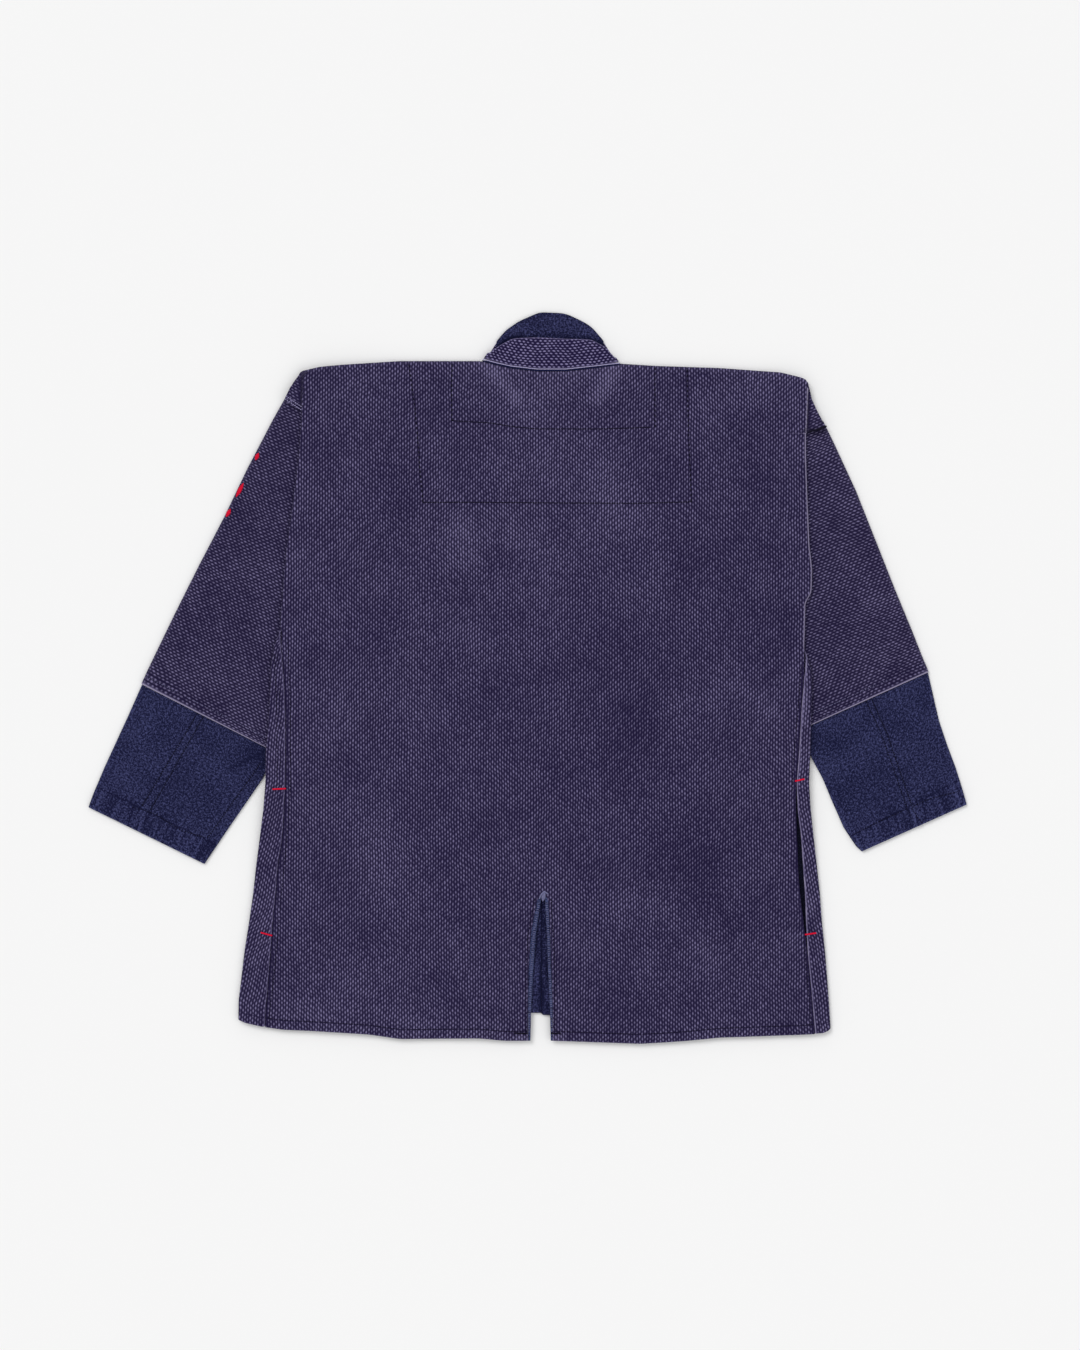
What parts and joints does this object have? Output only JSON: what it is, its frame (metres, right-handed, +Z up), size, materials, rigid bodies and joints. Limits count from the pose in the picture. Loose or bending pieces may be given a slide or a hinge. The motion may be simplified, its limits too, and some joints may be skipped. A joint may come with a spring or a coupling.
{
  "type": "stand-collar jacket",
  "caption": "Hip-length stand-collar jacket in rice-grain cotton with denim sleeve ends, side pockets and a back vent, lying flat with its back up.",
  "frame": {"origin": "on the resting plane below the middle of the laid-out jacket", "axes": "+X to the wearer's right as seen from above, +Y toward the neck, +Z up away from the surface it lies on"},
  "size_m": [1.0016, 0.8298, 0.0124],
  "materials": {
    "sashiko": "rice-grain woven cotton, washed indigo",
    "denim": "dark blue denim",
    "facing": "plain navy cotton",
    "pocketing": "thin plain cotton"
  },
  "bodies": {
    "root": {"back_panel": "sashiko", "front_left": "sashiko", "front_right": "sashiko", "sleeve_left": "sashiko", "sleeve_right": "sashiko", "collar_band": "sashiko", "cuff_left": "denim", "cuff_right": "denim", "front_facing_left": "facing", "front_facing_right": "facing", "collar_facing": "facing", "vent_binding_left": "facing", "vent_binding_right": "facing", "pocket_bag_left": "pocketing", "pocket_bag_right": "pocketing"}
  },
  "joints": []
}
